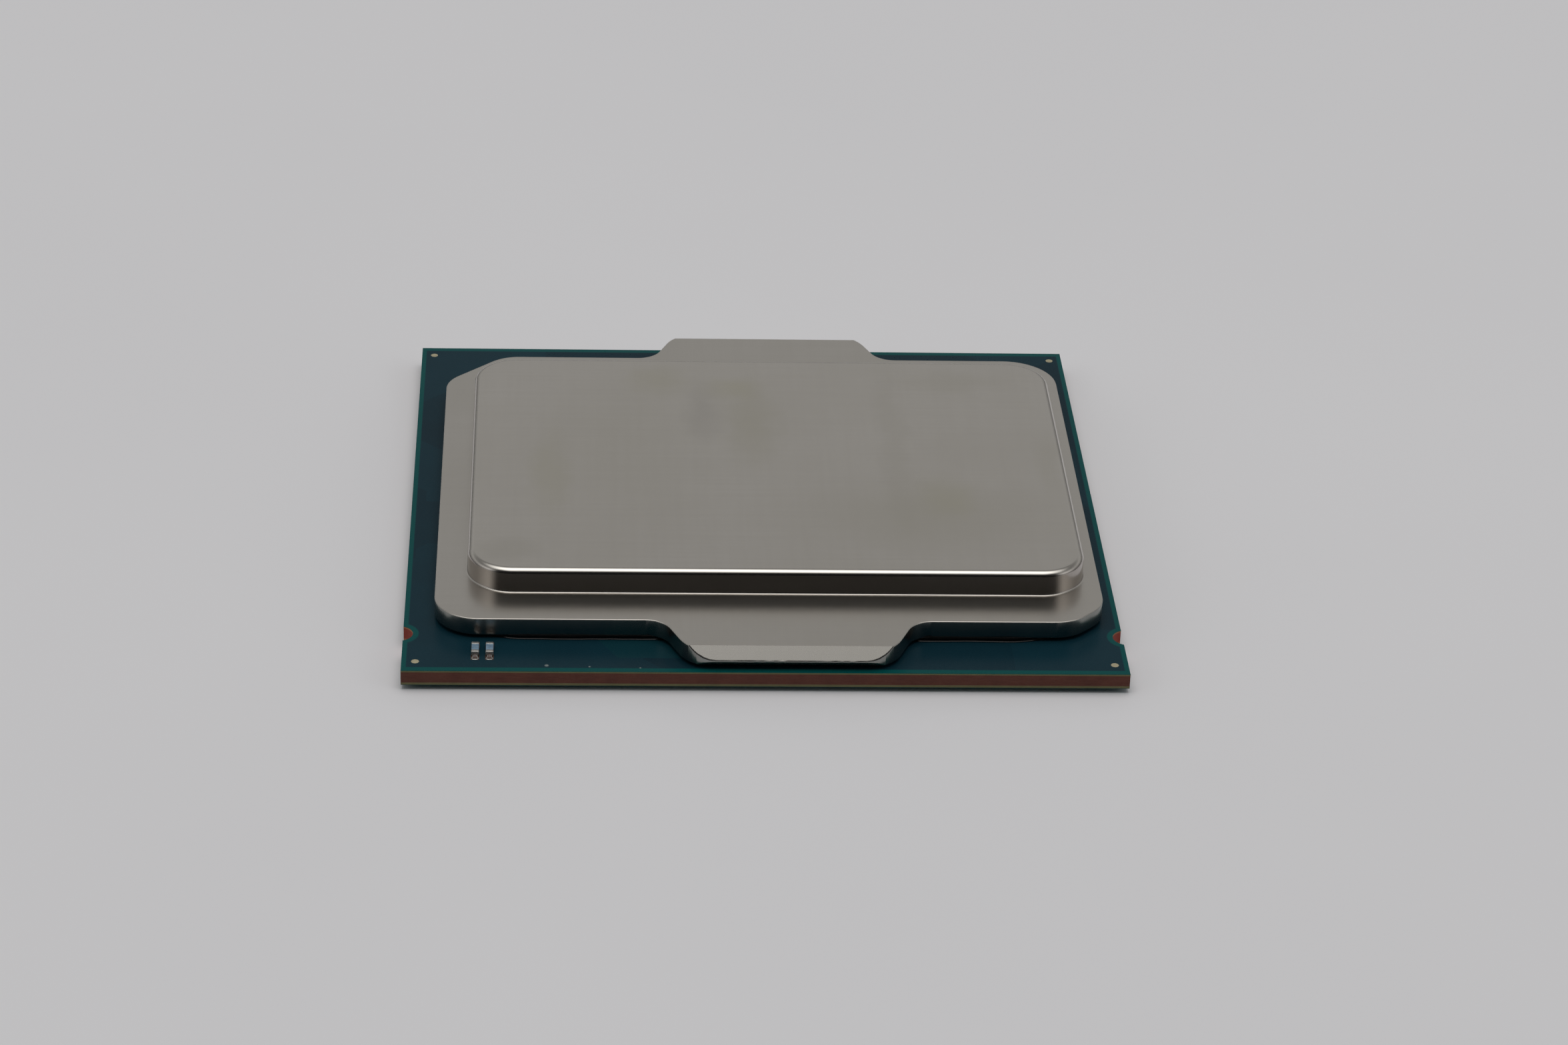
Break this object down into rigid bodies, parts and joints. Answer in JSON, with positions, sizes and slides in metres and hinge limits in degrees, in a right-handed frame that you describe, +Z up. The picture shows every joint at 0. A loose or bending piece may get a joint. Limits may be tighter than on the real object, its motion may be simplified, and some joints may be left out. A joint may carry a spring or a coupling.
{
  "type": "computer processor",
  "caption": "Square land-grid processor: a laminated board with edge key notches under a stepped satin metal heat spreader with two tabs, and flat gold contact lands on its underside.",
  "frame": {"origin": "under the centre of the square board, on the surface that the part stands on with its heat spreader up", "axes": "+Z up, out of the heat spreader's flat face; -Y towards the board's edge next to the two key notches; +X to the right as seen from that side"},
  "size_m": [0.0376, 0.0376, 0.0036],
  "materials": {
    "nickel_plate": "satin nickel plating over copper",
    "solder_mask": "thin glossy dark teal coating",
    "dielectric": "olive cut edge",
    "core_laminate": "reddish brown cut edge of glass-epoxy",
    "copper": "bare copper",
    "gold_plate": "thin gold plating",
    "solder": "bright solder",
    "tin_terminal": "tin plating",
    "capacitor_blue": "smooth blue-grey ceramic",
    "capacitor_brown": "smooth brown ceramic",
    "silicon": "polished dark grey",
    "underfill": "cured epoxy",
    "thermal_interface": "soft metal grey",
    "sealant": "black silicone"
  },
  "bodies": {
    "root": {"heat_spreader": "nickel_plate", "lid_sealant": "sealant", "thermal_interface": "thermal_interface", "silicon_die": "silicon", "underfill": "underfill", "solder_bumps": "solder", "die_pads": "copper", "microvias": "copper", "solder_mask_upper": "solder_mask", "solder_mask_lower": "solder_mask", "fiducial_marks": "gold_plate", "surface_copper": "copper", "buildup_upper": "dielectric", "power_plane": "copper", "core_laminate": "core_laminate", "core_vias": "copper", "ground_plane": "copper", "buildup_lower": "dielectric", "contact_lands": "gold_plate", "front_capacitor_bodies": "capacitor_blue", "front_capacitor_terminals": "tin_terminal", "front_capacitor_solder": "solder", "front_capacitor_pads": "copper", "land_capacitor_bodies": "capacitor_brown", "land_capacitor_terminals": "tin_terminal", "land_capacitor_solder": "solder", "land_capacitor_pads": "gold_plate"}
  },
  "joints": []
}
